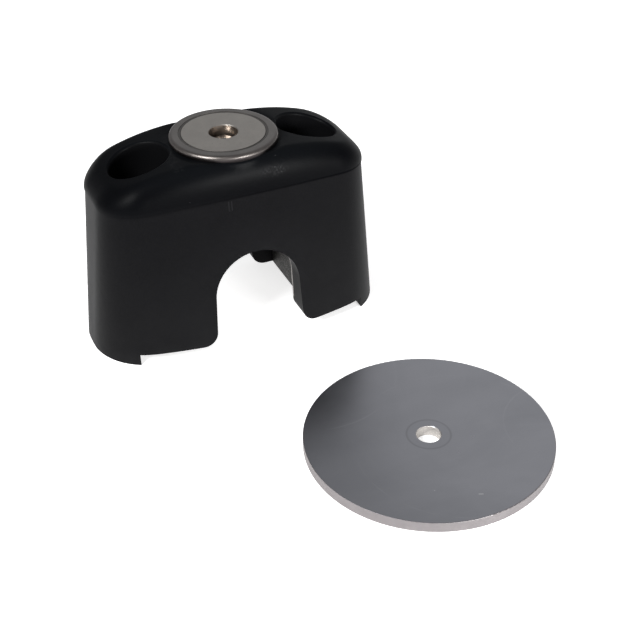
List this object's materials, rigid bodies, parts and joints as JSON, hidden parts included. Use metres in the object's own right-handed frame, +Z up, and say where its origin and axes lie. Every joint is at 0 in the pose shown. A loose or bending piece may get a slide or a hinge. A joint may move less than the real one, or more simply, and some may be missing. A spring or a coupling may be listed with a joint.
{
  "type": "magnetic door holder",
  "caption": "Black rubber door holder block with an arched tunnel, deep screw pockets and a round pot magnet on top, with its flat round steel strike plate lying beside it.",
  "frame": {"origin": "midway between the two fixing holes, on the underside of the foot, under the magnet's axis; the lips and the strike plate reach 5.5 mm lower, to the floor", "axes": "+Z up along the magnet's axis, +X along the body's length, -Y from the body towards the strike plate"},
  "size_m": [0.1651, 0.2215, 0.0962],
  "materials": {
    "rubber": "satin moulded rubber, dusty in places",
    "saddle_steel": "grainy blasted steel",
    "pot_steel": "turned, dull grey brown",
    "magnet_face": "finely ground, satin",
    "filler": "dull cast resin",
    "screw_steel": "bright plated steel",
    "fastener_steel": "zinc plated steel",
    "plate_steel": "cold rolled, blue grey, lightly oiled"
  },
  "bodies": {
    "root": {"rubber_body": "rubber", "steel_saddle": "saddle_steel", "magnet_cup": "pot_steel", "magnet_ring": "magnet_face", "filler_ring": "filler", "magnet_screw": "screw_steel", "magnet_washer": "fastener_steel", "magnet_nut": "fastener_steel", "strike_plate": "plate_steel"}
  },
  "joints": []
}
